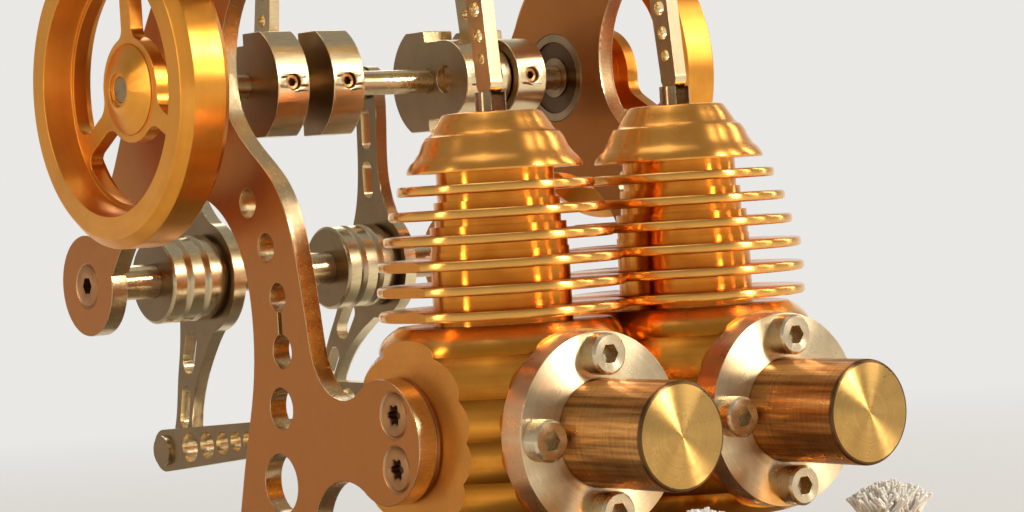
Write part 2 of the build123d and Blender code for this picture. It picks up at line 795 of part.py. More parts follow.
with BuildPart() as piston:
    with BuildSketch(Plane.XY.offset(piston_crown - piston_length / 2)):
        Circle(power_bore - running_gap)
    extrude(amount=piston_length)
    with BuildSketch(Plane.XY.offset(piston_crown)):
        Circle(piston_rod_radius)
    extrude(amount=piston_rod_top - piston_crown)
    # Slot in the rod end for the link's tongue
    with Locations((0, 0, piston_rod_top)):
        Box(piston_link_thickness + side_gap, 2 * piston_rod_radius + 1, 9,
            align=(Align.CENTER, Align.CENTER, Align.MAX), mode=Mode.SUBTRACT)

with BuildPart() as left_piston:
    add(left_unit * piston.part)

with BuildPart() as right_piston:
    add(right_unit * piston.part)

# Displacer levers
with BuildPart() as lever_shaft:
    with BuildSketch(along_x(-shaft_half, lever_y, lever_z)):
        Circle(lever_shaft_radius)
    extrude(amount=2 * shaft_half)
    for end in (-1, 1):
        with BuildSketch(along_x(end * shaft_half, lever_y, lever_z)):
            Circle(screw_radius + seat_gap)
        extrude(amount=-end * shaft_screw_length, mode=Mode.SUBTRACT)
    # Thin spacing collar that keeps the left lever in its place
    start = -unit_x + lever_start + lever_thickness + side_gap
    with BuildSketch(along_x(start, lever_y, lever_z)):
        Circle(lever_shaft_radius + 1.2)
    extrude(amount=2)

with BuildPart() as lever:
    with BuildSketch(along_x(lever_start)):
        with BuildLine():
            Spline((9.3, 36.8), (7.0, 30.8), (5.2, 24.0), (2.8, 17.6), (-1.2, 12.4), (-6.6, 9.0))
            Line((-6.6, 9.0), (0, 0))
            Line((0, 0), (-7.6, -7.2))
            Spline((-7.6, -7.2), (-1.4, -11.7), (2.3, -15.9), (5.3, -20.2), (7.4, -24.4),
                   (8.8, -29.4), (9.5, -35.0))
            Line((9.5, -35.0), lever_foot)
            Line(lever_foot, (17.9, -34.4))
            Spline((17.9, -34.4), (15.0, -28.9), (13.2, -20.3), (12.1, -16.0), (11.0, -8.0),
                   (10.6, 0), (9.6, 8.0), (10.4, 16.0), (13.2, 26.0), (15.8, 35.4))
            Line((15.8, 35.4), lever_top)
            Line(lever_top, (9.3, 36.8))
        make_face()
        Circle(lever_boss)
        with Locations(lever_top):
            Circle(3.5)
        with Locations(lever_foot):
            Circle(4.2)
        # Slots along the middle of both arms
        with Locations((8.0, -15.2)):
            SlotCenterToCenter(4.8, 4.4, rotation=-72, mode=Mode.SUBTRACT)
        with Locations((11.0, -26.4)):
            SlotCenterToCenter(5.4, 3.4, rotation=-76, mode=Mode.SUBTRACT)
        with Locations((9.9, 26.8)):
            SlotCenterToCenter(5.4, 3.2, rotation=72, mode=Mode.SUBTRACT)
        with Locations((6.8, 16.6)):
            SlotCenterToCenter(4.4, 3.4, rotation=70, mode=Mode.SUBTRACT)
    extrude(amount=lever_thickness)
    with BuildSketch(Plane.XY):
        with BuildLine():
            step = collar_length / 6
            edge = lever_start - collar_length
            profile = [(lever_start, 0), (edge, 0)]
            for n in range(3):
                low = edge + 2 * n * step
                profile += [
                    (low, collar_radius - 0.6), (low + 0.5, collar_radius),
                    (low + 2 * step - 1.1, collar_radius),
                    (low + 2 * step - 0.6, collar_radius - 1.1),
                ]
            Polyline(*profile, (lever_start, collar_radius - 1.1), close=True)
        make_face()
    revolve(axis=Axis.X)
    with BuildSketch(along_x(lever_start - collar_length)):
        Circle(lever_shaft_radius + running_gap)
    extrude(amount=collar_length + lever_thickness, mode=Mode.SUBTRACT)
    # Pin stub towards the link
    with BuildSketch(along_x(lever_start, *lever_top)):
        Circle(2.4)
    extrude(amount=-(lever_start - link_start - rod_thickness - side_gap))

with BuildPart() as left_lever:
    add(Pos(-unit_x, lever_y, lever_z) * lever.part)

with BuildPart() as right_lever:
    add(Pos(unit_x, lever_y, lever_z) * Rot(lever_swing, 0, 0) * lever.part)


def displacer_bar(unit, foot):
    """Drilled bar from the lever's foot pin to the displacer rod's eye."""
    fall = asin(foot[1] / bar_length)
    half = bar_thickness / 2
    with BuildPart() as bar:
        with BuildSketch(tilted(unit - half, *foot, fall + radians(180))):
            with BuildLine():
                Polyline((0, -bar_rear_radius), (bar_length, -bar_front_radius),
                         (bar_length, bar_front_radius), (0, bar_rear_radius), close=True)
            make_face()
            Circle(bar_rear_radius)
            with Locations((bar_length, 0)):
                Circle(bar_front_radius)
            along = bar_hole_start
            shrink = 1.0
            for _ in range(7):
                with Locations((along, 0)):
                    Circle(bar_first_hole * shrink, mode=Mode.SUBTRACT)
                along += bar_hole_step * shrink
                shrink *= bar_shrink
        extrude(amount=bar_thickness)
        # Head of the pin that joins the bar to the lever
        with BuildSketch(tilted(unit - half, *foot, fall + radians(180))):
            Circle(bar_pin_head)
        extrude(amount=-0.9)
        # Fork for the displacer rod's eye
        slot = eye_thickness + 2 * side_gap
        with BuildSketch(tilted(unit - slot / 2, *foot, fall + radians(180))):
            with Locations((bar_length, 0)):
                Rectangle(2 * fork_depth, 4 * bar_front_radius)
        extrude(amount=slot, mode=Mode.SUBTRACT)
        with BuildSketch(tilted(unit - half - 0.5, *foot, fall + radians(180))):
            with Locations((bar_length, 0)):
                Circle(1.0)
        extrude(amount=bar_thickness + 1)
    return bar.part


with BuildPart() as left_displacer_bar:
    add(displacer_bar(-unit_x, left_foot_pin))

with BuildPart() as right_displacer_bar:
    add(displacer_bar(unit_x, right_foot_pin))


def displacer(unit, eye):
    """Displacer body in the hot cap, its rod and the flat eye at the rod's end."""
    nose = eye - left_crosshead - cap_end + 3.0
    with BuildPart() as body:
        with BuildSketch(facing_front(nose + displacer_length, unit)):
            Circle(displacer_radius)
        extrude(amount=displacer_length)
        with BuildSketch(facing_front(eye - 5, unit)):
            Circle(rod_radius)
        extrude(amount=eye - 5 - nose)
        with BuildSketch(along_x(unit - eye_thickness / 2, eye)):
            Circle(2.3)
            with Locations((-3, 0)):
                Rectangle(6, 2.6)
            Circle(1.0 + running_gap, mode=Mode.SUBTRACT)
        extrude(amount=eye_thickness)
    return body.part


with BuildPart() as left_displacer:
    add(displacer(-unit_x, left_crosshead))

with BuildPart() as right_displacer:
    add(displacer(unit_x, right_crosshead))

# Frame details
with BuildPart() as plate_feet:
    for side in (-1, 1):
        for place in foot_block_places:
            middle = side * (unit_x + plate_inner - foot_block[0] / 2)
            with Locations((middle, place, base_top)):
                Box(*foot_block, align=(Align.CENTER, Align.CENTER, Align.MIN))

with BuildPart() as tie_bars:
    for y, z in tie_places:
        with BuildSketch(along_x(-unit_x - plate_inner, y, z)):
            Circle(tie_radius)
        extrude(amount=2 * (unit_x + plate_inner))

# Burners
with BuildPart() as burner_tank:
    with BuildSketch(Plane.XZ):
        with BuildLine():
            top = base_top + tank_height
            Polyline(
                (0, base_top), (tank_radius, base_top), (tank_radius, base_top + 1.5),
                (tank_radius - 0.8, base_top + 2.2), (tank_radius - 0.8, top - 5),
                (tank_radius, top - 4.3), (tank_radius, top - 3), (tank_radius - 1.6, top - 1.6),
                (tube_radius + 3.0, top), (tube_radius + 1.6, top), (tube_radius + 1.6, top + 2.4),
                (tube_radius, top + 3.0), (tube_radius, -tube_top), (tube_radius - 1, -tube_top),
                (tube_radius - 1, base_top + 3), (0, base_top + 3), close=True,
            )
        make_face()
    revolve(axis=Axis.Z)

with BuildPart() as wick:
    with BuildSketch(Plane.XY.offset(base_top + 3)):
        Circle(wick_radius)
    extrude(amount=-tube_top - base_top - 3)
    with BuildSketch(Plane.XY.offset(-tube_top)):
        Circle(wick_radius)
    with BuildSketch(Plane.XY.offset((-tube_top - wick_top) / 2)):
        Circle(wick_radius + 1.7)
    with BuildSketch(Plane.XY.offset(-wick_top)):
        Circle(wick_radius + 0.6)
    loft()

engine = Pos(0, cylinder_y, axis_above_base + base_thickness + foot_height)
left_burner = Pos(-unit_x, -burner_y, 0)
right_burner = Pos(unit_x, -burner_y, 0)


def turned_over(piece):
    return mirror(piece, about=mirror_plane)


pieces = {
    "base_plate": base_plate.part,
    "feet": feet.part,
    "left_cylinder_block": left_unit * cylinder_block.part,
    "right_cylinder_block": right_unit * cylinder_block.part,
    "left_cylinder_head": left_unit * cylinder_head.part,
    "right_cylinder_head": right_unit * cylinder_head.part,
    "left_rod_gland": left_unit * rod_gland.part,
    "right_rod_gland": right_unit * rod_gland.part,
    "left_hot_flange": left_unit * hot_flange.part,
    "right_hot_flange": right_unit * hot_flange.part,
    "left_hot_cap": left_unit * hot_cap.part,
    "right_hot_cap": right_unit * hot_cap.part,
    "left_flange_screws": left_unit * flange_screws.part,
    "right_flange_screws": right_unit * flange_screws.part,
    "left_side_plate": side_plate.part,
    "right_side_plate": turned_over(side_plate.part),
    "left_cylinder_spacer": cylinder_spacer.part,
    "right_cylinder_spacer": turned_over(cylinder_spacer.part),
    "centre_spacer": centre_spacer.part,
    "left_plate_screws": plate_screws.part,
    "right_plate_screws": turned_over(plate_screws.part),
    "left_bearing": left_bearing.part,
    "right_bearing": right_bearing.part,
    "beam_shaft": beam_shaft.part,
    "lever_shaft": lever_shaft.part,
    "shaft_screws": shaft_screws.part,
    "plate_feet": plate_feet.part,
    "tie_bars": tie_bars.part,
    "left_burner_tank": left_burner * burner_tank.part,
    "right_burner_tank": right_burner * burner_tank.part,
    "left_wick": left_burner * wick.part,
    "right_wick": right_burner * wick.part,
    "crankshaft": crankshaft.part,
    "left_crank_webs": left_crank_webs.part,
    "right_crank_webs": right_crank_webs.part,
    "left_flywheel": left_flywheel.part,
    "right_flywheel": right_flywheel.part,
    "left_crank_rod": left_crank_rod.part,
    "right_crank_rod": right_crank_rod.part,
    "left_displacer_link": left_displacer_link.part,
    "right_displacer_link": right_displacer_link.part,
    "left_beam": left_beam.part,
    "right_beam": right_beam.part,
    "left_piston_link": left_piston_link.part,
    "right_piston_link": right_piston_link.part,
    "left_piston": left_piston.part,
    "right_piston": right_piston.part,
    "left_lever": left_lever.part,
    "right_lever": right_lever.part,
    "left_displacer_bar": left_displacer_bar.part,
    "right_displacer_bar": right_displacer_bar.part,
    "left_displacer": left_displacer.part,
    "right_displacer": right_displacer.part,
}

for name, piece in pieces.items():
    placed = engine * piece
    placed.label = name
    export_step(placed, f"parts/{name}.step")
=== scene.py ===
import json
import math
import random

import bmesh
import bpy
from mathutils import Matrix, Vector

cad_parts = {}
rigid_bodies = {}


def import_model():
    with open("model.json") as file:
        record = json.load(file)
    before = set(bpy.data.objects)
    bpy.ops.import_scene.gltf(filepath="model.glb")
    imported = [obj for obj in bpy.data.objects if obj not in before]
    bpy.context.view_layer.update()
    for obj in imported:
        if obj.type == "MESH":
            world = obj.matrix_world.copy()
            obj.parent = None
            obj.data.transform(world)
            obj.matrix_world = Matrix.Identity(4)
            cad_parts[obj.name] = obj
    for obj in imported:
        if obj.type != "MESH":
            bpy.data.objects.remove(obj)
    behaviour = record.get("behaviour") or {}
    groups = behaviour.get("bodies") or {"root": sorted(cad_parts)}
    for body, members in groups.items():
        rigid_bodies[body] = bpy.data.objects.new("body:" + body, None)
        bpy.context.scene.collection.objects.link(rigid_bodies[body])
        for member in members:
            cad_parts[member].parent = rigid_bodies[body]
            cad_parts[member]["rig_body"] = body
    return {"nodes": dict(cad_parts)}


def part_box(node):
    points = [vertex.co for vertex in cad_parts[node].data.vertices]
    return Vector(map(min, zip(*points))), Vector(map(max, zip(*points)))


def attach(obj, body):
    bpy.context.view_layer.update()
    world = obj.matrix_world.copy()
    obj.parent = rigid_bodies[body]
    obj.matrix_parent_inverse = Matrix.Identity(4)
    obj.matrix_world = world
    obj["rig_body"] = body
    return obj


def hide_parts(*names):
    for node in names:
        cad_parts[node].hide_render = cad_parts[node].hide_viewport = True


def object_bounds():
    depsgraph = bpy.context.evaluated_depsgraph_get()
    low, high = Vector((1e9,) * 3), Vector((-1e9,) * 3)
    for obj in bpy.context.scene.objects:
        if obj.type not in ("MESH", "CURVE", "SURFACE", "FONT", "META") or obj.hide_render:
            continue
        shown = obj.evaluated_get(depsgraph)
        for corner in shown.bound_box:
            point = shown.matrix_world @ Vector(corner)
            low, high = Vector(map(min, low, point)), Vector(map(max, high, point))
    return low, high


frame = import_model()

cad_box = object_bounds()

# Camera: it stands low and close in front of the left hot cap, a little below the
# crank, and looks along both cylinders with a slight roll, through a long lens.
# Its yaw, pitch and roll are in radians.
eye = Vector((-0.31210, -0.42326, 0.09734))
yaw, pitch, roll = 0.9240, -0.0200, 0.0600


def direction(turn, rise):
    """The direction turned from X towards Y and risen above the level, in radians."""
    level = math.cos(rise)
    return Vector((math.cos(turn) * level, math.sin(turn) * level, math.sin(rise)))


look = direction(yaw, pitch)
level_right = look.cross(Vector((0, 0, 1))).normalized()
level_up = level_right.cross(look)
right = math.cos(roll) * level_right - math.sin(roll) * level_up
up = math.sin(roll) * level_right + math.cos(roll) * level_up
lens = bpy.data.cameras.new("camera")
lens.sensor_width = 36.0
lens.lens = 99.41
lens.clip_start = 0.01
camera = bpy.data.objects.new("camera", lens)
bpy.context.scene.collection.objects.link(camera)
camera.matrix_world = Matrix.Translation(eye) @ Matrix((right, up, -look)).transposed().to_4x4()
bpy.context.scene.camera = camera
bpy.context.scene.view_settings.view_transform = "Standard"


# Base plate and feet: a milled steel plate with a small bevel round its top edge,
# on four black rubber feet. It carries the side plates and the burners.
base_steel = (0.33, 0.30, 0.26)
base_edge = (0.62, 0.56, 0.46)
rubber_black = (0.025, 0.024, 0.023)
rubber_worn = (0.05, 0.048, 0.045)
edge_break = 0.00018
mark_depth = 0.00003
weld_distance = 0.000002
flat_angle, sharp_angle = math.radians(0.1), math.radians(28)
X, Y, Z = (1, 0, 0), (0, 1, 0), (0, 0, 1)


class Wire:
    """One output inside a material. Sums and products of it add Math nodes."""

    def __init__(self, socket):
        self.socket = socket
        self.tree = socket.id_data

    def node(self, kind, settings, inputs, output=0):
        """Adds a node, first its settings and then the values or links of its inputs."""
        made = self.tree.nodes.new(kind)
        for name, value in settings.items():
            setattr(made, name, value)
        for key, value in inputs.items():
            if isinstance(value, Wire):
                self.tree.links.new(value.socket, made.inputs[key])
            else:
                made.inputs[key].default_value = value
        return Wire(made.outputs[output])

    def math(self, operation, *values):
        return self.node("ShaderNodeMath", {"operation": operation}, dict(enumerate(values)))

    def vector(self, operation, *values):
        return self.node("ShaderNodeVectorMath", {"operation": operation}, dict(enumerate(values)))

    def length(self):
        return self.node("ShaderNodeVectorMath", {"operation": "LENGTH"}, {0: self}, "Value")

    def along(self, axis):
        """Reach of this vector along an axis."""
        measured = {"operation": "DOT_PRODUCT"}
        return self.node("ShaderNodeVectorMath", measured, {0: self, 1: axis}, "Value")

    def __add__(self, other):
        return self.math("ADD", self, other)

    __radd__ = __add__

    def __sub__(self, other):
        return self.math("SUBTRACT", self, other)

    def __rsub__(self, other):
        return self.math("SUBTRACT", other, self)

    def __mul__(self, other):
        return self.math("MULTIPLY", self, other)

    __rmul__ = __mul__

    def step(self, low, high):
        """0 below low, 1 above high and even in between."""
        return self.node("ShaderNodeMapRange", {}, {0: self, 1: low, 2: high, 3: 0.0, 4: 1.0})

    def blend(self, first, second):
        """The colour first where this wire is 0, and second where it is 1."""
        ends = [end if isinstance(end, Wire) else (*end, 1) for end in (first, second)]
        colours = {0: self, 6: ends[0], 7: ends[1]}
        return self.node("ShaderNodeMix", {"data_type": "RGBA"}, colours, 2)


def finish(name, metallic, **fixed):
    """A material with its fixed values, and a wire with the piece's own coordinates."""
    material = bpy.data.materials.new(name)
    material.use_nodes = True
    shader = material.node_tree.nodes["Principled BSDF"]
    shader.inputs["Metallic"].default_value = metallic
    for key, value in fixed.items():
        shader.inputs[key.replace("_", " ")].default_value = value
    coordinates = material.node_tree.nodes.new("ShaderNodeTexCoord")
    return material, Wire(coordinates.outputs["Object"])


def feed(material, **wires):
    """Links each wire to the input of that name of the material's shader."""
    shader = material.node_tree.nodes["Principled BSDF"]
    for key, wire in wires.items():
        material.node_tree.links.new(wire.socket, shader.inputs[key.replace("_", " ")])


def grain(place, scale, detail=2.0, stretch=(1, 1, 1)):
    """Uneven patches from 0 to 1 all through the piece, scale in patches per metre."""
    return place.node(
        "ShaderNodeTexNoise", {"noise_dimensions": "3D"},
        {"Vector": place.vector("MULTIPLY", place, stretch), "Scale": scale, "Detail": detail},
    )


def facing(place, axis):
    """1 on faces that lie square to the axis, 0 on faces along it."""
    outward = place.node("ShaderNodeNewGeometry", {}, {}, "Normal")
    turned_in = {"vector_type": "NORMAL", "convert_from": "WORLD", "convert_to": "OBJECT"}
    across = place.node("ShaderNodeVectorTransform", turned_in, {0: outward}).along(axis)
    return (across * across).step(0.35, 0.85)


def darker(colour, share):
    return tuple(share * part for part in colour)


def milled(name, face, edge, axis, rough=0.36, edge_rough=0.2, mottle=0.5):
    """Plate metal: satin faces square to the axis, with brighter cut edges round them."""
    material, place = finish(name, 1.0)
    flat = facing(place, axis)
    mottled = grain(place, 260, 5).step(0.32, 0.72)
    fine = grain(place, 2600, 3)
    cut = grain(place, 5200, 2, [1 - 0.93 * abs(part) for part in axis])
    face_colour = (mottled * mottle + fine * 0.25).blend(face, darker(face, 0.72))
    edge_colour = cut.step(0.35, 0.75).blend(edge, darker(edge, 0.8))
    marks = flat * fine + (1 - flat) * cut
    bump = {"Strength": 0.22, "Distance": mark_depth, "Height": marks}
    feed(
        material,
        Base_Color=flat.blend(edge_colour, face_colour),
        Roughness=flat * (rough - edge_rough) + edge_rough + fine * 0.08,
        Normal=place.node("ShaderNodeBump", {}, bump),
    )
    return material


def eased(name, material, axis=None, width=edge_break):
    """A copy of a CAD piece with its sharp edges broken, so that they catch the light.
    Its own Z axis is the given one, the axis that it turned round on the lathe."""
    node = frame["nodes"][name]
    low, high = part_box(name)
    place = Matrix.Translation((low + high) / 2)
    if axis:
        place = place @ Vector(axis).to_track_quat("Z", "Y").to_matrix().to_4x4()
    shape = bmesh.new()
    shape.from_mesh(node.data)
    bmesh.ops.remove_doubles(shape, verts=shape.verts, dist=weld_distance)
    bmesh.ops.dissolve_limit(
        shape, angle_limit=flat_angle, verts=shape.verts, edges=shape.edges
    )
    shape.transform(place.inverted())
    for face in shape.faces:
        face.smooth = True
    mesh = bpy.data.meshes.new(f"{name}_eased")
    shape.to_mesh(mesh)
    shape.free()
    mesh.materials.append(material)
    made = bpy.data.objects.new(f"{name}_eased", mesh)
    bpy.context.scene.collection.objects.link(made)
    made.matrix_world = place
    easing = made.modifiers.new("eased edges", "BEVEL")
    easing.width = width
    easing.segments = 2
    easing.limit_method = "ANGLE"
    easing.angle_limit = sharp_angle
    made.modifiers.new("even shading", "WEIGHTED_NORMAL")
    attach(made, node["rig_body"])
    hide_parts(name)


eased("base_plate", milled("base steel", base_steel, base_edge, Z, rough=0.34))
rubber, rubber_place = finish("foot rubber", 0.0)
feed(
    rubber,
    Base_Color=grain(rubber_place, 500, 4).blend(rubber_black, rubber_worn),
    Roughness=grain(rubber_place, 900) * 0.25 + 0.55,
)
eased("feet", rubber)


# Foot blocks and tie bars: small milled blocks fasten the side plates to the base,
# and two turned bars hold the plates at their distance.
bright_steel = (0.84, 0.62, 0.34)
sides = ("left", "right")
beyond = 1.0
band_fade = 0.00005


def line_noise(measure, scale):
    """Uneven lines from 0 to 1 that change with one measure, such as a radius."""
    return measure.node(
        "ShaderNodeTexNoise", {"noise_dimensions": "1D"},
        {"W": measure, "Scale": scale, "Detail": 2.0},
    )


def tool_marks(place, lines):
    """Radius from the piece's own Z axis, height along it, and rings round it."""
    radius = place.vector("MULTIPLY", place, (1, 1, 0)).length()
    height = place.along(Z)
    return radius, height, line_noise(radius, lines) + line_noise(height, lines) - 0.5


def tarnish(place):
    return grain(place, 200, 5).step(0.42, 0.72)


def turned(name, bright, dull, rough, spread=0.9, lines=1400, cut=0.3, aged=0.4, streaks=0.0,
           end=None, band=None):
    """Metal from the lathe: rings of tool marks round the piece's own Z axis, which
    stretch the highlights across them, and faint patches of tarnish. The end faces
    may have a colour of their own, and so may a band: its inner and outer radius, the
    height that it ends at, each of them in metres or beyond the piece, and its colour."""
    material, place = finish(name, 1.0, Anisotropic=spread, Anisotropic_Rotation=0.25)
    radius, height, rings = tool_marks(place, lines)
    patches = tarnish(place)
    drawn = grain(place, 900, 3, (1, 1, 0.05)).step(0.4, 0.65)
    shade = patches * aged + rings.step(0.2, 0.9) * 0.3 + drawn * streaks
    bump = {"Strength": cut, "Distance": mark_depth, "Height": rings}
    colour = shade.step(0, 1).blend(bright, dull)
    if end:
        colour = facing(place, Z).blend(colour, (rings * 0.4).blend(end, dull))
    if band:
        inner, outer, top, hue = band
        kept = radius.step(inner - band_fade, inner) * (1 - radius.step(outer, outer + band_fade))
        colour = (kept * (1 - height.step(top, top + band_fade))).blend(colour, hue)
    feed(
        material,
        Base_Color=colour,
        Roughness=patches * 0.06 + rings.step(0, 1) * 0.04 + drawn * (streaks * 0.1) + rough,
        Normal=place.node("ShaderNodeBump", {}, bump),
    )
    return material


plain_steel = milled("plain steel", bright_steel, bright_steel, X, rough=0.28)
eased("plate_feet", plain_steel)
eased("tie_bars", plain_steel)


# Side plates: curved steel plates with lightening holes, cut out, with satin faces
# whose red-brown is a painted reflection of warm surroundings, and brighter edges.
# They carry the shafts and the bearings.
# The plates' red-brown face colour is a painted reflection of warm surroundings.
plate_brown_reflection = (0.52, 0.187, 0.042)
plate_edge = (0.80, 0.60, 0.34)
plate_steel = milled("plate steel", plate_brown_reflection, plate_edge, X, edge_rough=0.22, mottle=0.2)
for side in sides:
    eased(f"{side}_side_plate", plate_steel)


# Shims and centre spacer: thin steel discs between plates and cylinder blocks, and
# between the two blocks, so that the blocks are clamped at their ridged flats only.
shim_bright, shim_dull = (0.76, 0.74, 0.70), (0.36, 0.34, 0.31)
shim_steel = turned("shim steel", shim_bright, shim_dull, rough=0.2)
for name in ("left_cylinder_spacer", "right_cylinder_spacer", "centre_spacer"):
    eased(name, shim_steel, X, edge_break / 2)


# Cylinder blocks: brass turned to a ridged ball with a finned barrel on top, then
# milled flat at both sides, in front for the hot flange and behind for the gland.
# Painted shade fills the ball's grooves; its shoulder and the fins' rims carry a painted highlight.
block_brass = (0.97, 0.41, 0.055)
block_tarnish = (0.60, 0.185, 0.016)
flat_brass = (1.0, 0.40, 0.075)
# The next colour is painted shade for the grooves between the ball's ridges.
groove_painted_shade = (0.36, 0.105, 0.007)
# The next colour is a painted highlight for the ball's shoulder and the fins' rims.
painted_highlight_brass = (1.0, 0.58, 0.17)
# The outline's sizes are in millimetres, the places of the painted shade and the
# painted highlight in metres.
ball_radius, ball_half, ridge_pitch = 26.8, 18.4, 6.9
ridge_low, ridge_high, ridge_steps = 1.2, 0.3, 10
side_flat, front_flat, rear_flat = 20.6, 20.0, 21.0
fin_radii = (21.4, 21.5, 21.2, 19.9, 18.8, 17.1)
core_radii = (12.0, 12.0, 12.0, 11.8, 10.9, 10.2)
fin_first, fin_pitch, fin_half, fin_round, fin_steps = 20.4, 4.24, 0.85, 0.6, 5
barrel_top = 44.5
power_bore, power_start, power_depth = 8.0, 13, 10.0
displacer_bore, displacer_depth = 8.2, 35.0
rod_bore, rod_start, rod_depth = 1.6, 10, 20.0
drill_clear = 1
shoulder_low, shoulder_high = 0.0155, 0.0175
barrel_low, barrel_high = 0.0184, 0.0187
rim_inner, rim_outer, rim_low = 0.0150, 0.0168, 0.0190
sideways, forward = (-1, 0, 0), (0, -1, 0)
smooth_angle = math.radians(24)


def standing(spot, axis):
    """Place at a spot with its own Z along the axis."""
    return Matrix.Translation(spot) @ Vector(axis).to_track_quat("Z", "Y").to_matrix().to_4x4()


def hexagon(angle):
    """Reach of a hexagon's outline with its corners at reach 1."""
    return math.cos(math.pi / 6) / math.cos((angle % (math.pi / 3)) - math.pi / 6)


def lathe(name, rings, place, node, material, outline=hexagon, bored=False, steps=96,
          flats=()):
    """A turned piece from rings of radius and height, in millimetres from its place. A
    third value shapes the ring like the socket; flats are planes that it is milled to.
    It stands for a CAD piece, or else rides on the named body."""
    shape = bmesh.new()
    loops = []
    for radius, height, *shaped in rings:
        loop = []
        for n in range(steps):
            angle = math.tau * n / steps
            reach = radius / 1000 * (outline(angle) if shaped else 1)
            spot = (reach * math.cos(angle), reach * math.sin(angle), height / 1000)
            loop.append(shape.verts.new(spot))
        loops.append(loop)
    following = loops[1:]
    if bored:
        following.append(loops[0])
    else:
        shape.faces.new(loops[0])
        shape.faces.new(loops[-1])
    for lower, upper in zip(loops, following):
        for n in range(steps):
            m = (n + 1) % steps
            shape.faces.new((lower[n], lower[m], upper[m], upper[n]))
    for away, reach in flats:
        whole = shape.verts[:] + shape.edges[:] + shape.faces[:]
        spot = Vector(away) * reach / 1000
        cut = bmesh.ops.bisect_plane(
            shape, geom=whole, plane_co=spot, plane_no=away, clear_outer=True
        )
        rim = [part for part in cut["geom_cut"] if isinstance(part, bmesh.types.BMEdge)]
        bmesh.ops.holes_fill(shape, edges=rim, sides=0)
    bmesh.ops.recalc_face_normals(shape, faces=shape.faces)
    for face in shape.faces:
        face.smooth = True
    for edge in shape.edges:
        edge.smooth = edge.calc_face_angle(0) < smooth_angle
        if any(
            all(abs(vert.co.dot(Vector(away)) - reach / 1000) < 0.00001 for vert in edge.verts)
            for away, reach in flats
        ):
            edge.smooth = False
    mesh = bpy.data.meshes.new(name)
    shape.to_mesh(mesh)
    shape.free()
    mesh.materials.append(material)
    made = bpy.data.objects.new(name, mesh)
    bpy.context.scene.collection.objects.link(made)
    made.matrix_world = place
    if node in frame["nodes"]:
        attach(made, frame["nodes"][node]["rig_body"])
        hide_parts(node)
    else:
        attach(made, node)
    return made


def drilled(made, holes):
    """Drills holes: each has a place with its own Z along it, a radius and a depth."""
    drills = []
    for place, radius, depth in holes:
        bpy.ops.mesh.primitive_cylinder_add(vertices=64, radius=radius / 1000, depth=depth / 1000)
        drill = bpy.context.object
        drill.matrix_world = place @ Matrix.Translation((0, 0, depth / 2000))
        cut = made.modifiers.new("drill", "BOOLEAN")
        cut.object = drill
        cut.solver = "EXACT"
        drills.append(drill)
    bpy.context.view_layer.update()
    whole = made.evaluated_get(bpy.context.evaluated_depsgraph_get())
    mesh = bpy.data.meshes.new_from_object(whole)
    made.modifiers.clear()
    made.data = mesh
    for drill in drills:
        bpy.data.objects.remove(drill)


def block_metal(name, cut, lines):
    """Turned brass round Z, satin on the two flats milled across X. Between the ridges
    of the ball it has painted shade, and its shoulder and the fins' rims a painted highlight."""
    material, place = finish(name, 1.0, Anisotropic=0.94, Anisotropic_Rotation=0.25)
    radius, height, rings = tool_marks(place, lines)
    patches = tarnish(place)
    aside = place.math("ABSOLUTE", place.along(X))
    flat = aside.step(side_flat / 1000 - 0.00006, side_flat / 1000 - 0.00002)
    fine = grain(place, 2400, 3)
    shade = patches * 0.4 + rings.step(0.2, 0.9) * 0.3
    wave = height.math("PINGPONG", height * (1000 / ridge_pitch), 0.5)
    # Painted shade: darkens the grooves between the ball's ridges to brown.
    groove_shade = (1 - wave.step(0.06, 0.34)) * (1 - height.step(0.016, shoulder_high))
    colour = (groove_shade * 0.8).blend(shade.blend(block_brass, block_tarnish), groove_painted_shade)
    # Painted highlight: lightens the ball's shoulder and the fins' rims.
    shoulder = height.step(shoulder_low, shoulder_high) * (1 - height.step(barrel_low, barrel_high))
    fin_rim_highlight = radius.step(rim_inner, rim_outer) * height.step(barrel_high, rim_low)
    colour = (shoulder * 0.8 + fin_rim_highlight * 0.55).blend(colour, painted_highlight_brass)
    satin = fine.blend(flat_brass, darker(flat_brass, 0.8))
    bump = {"Strength": cut, "Distance": mark_depth, "Height": rings * (1 - flat) + fine * flat}
    feed(
        material,
        Base_Color=flat.blend(colour, satin),
        Roughness=patches * 0.05 + rings.step(0, 1) * 0.05 + flat * 0.14 + 0.2,
        Normal=place.node("ShaderNodeBump", {}, bump),
    )
    return material


def ball(height):
    """Radius of the ball at a height from its middle."""
    return math.sqrt(ball_radius ** 2 - height ** 2)


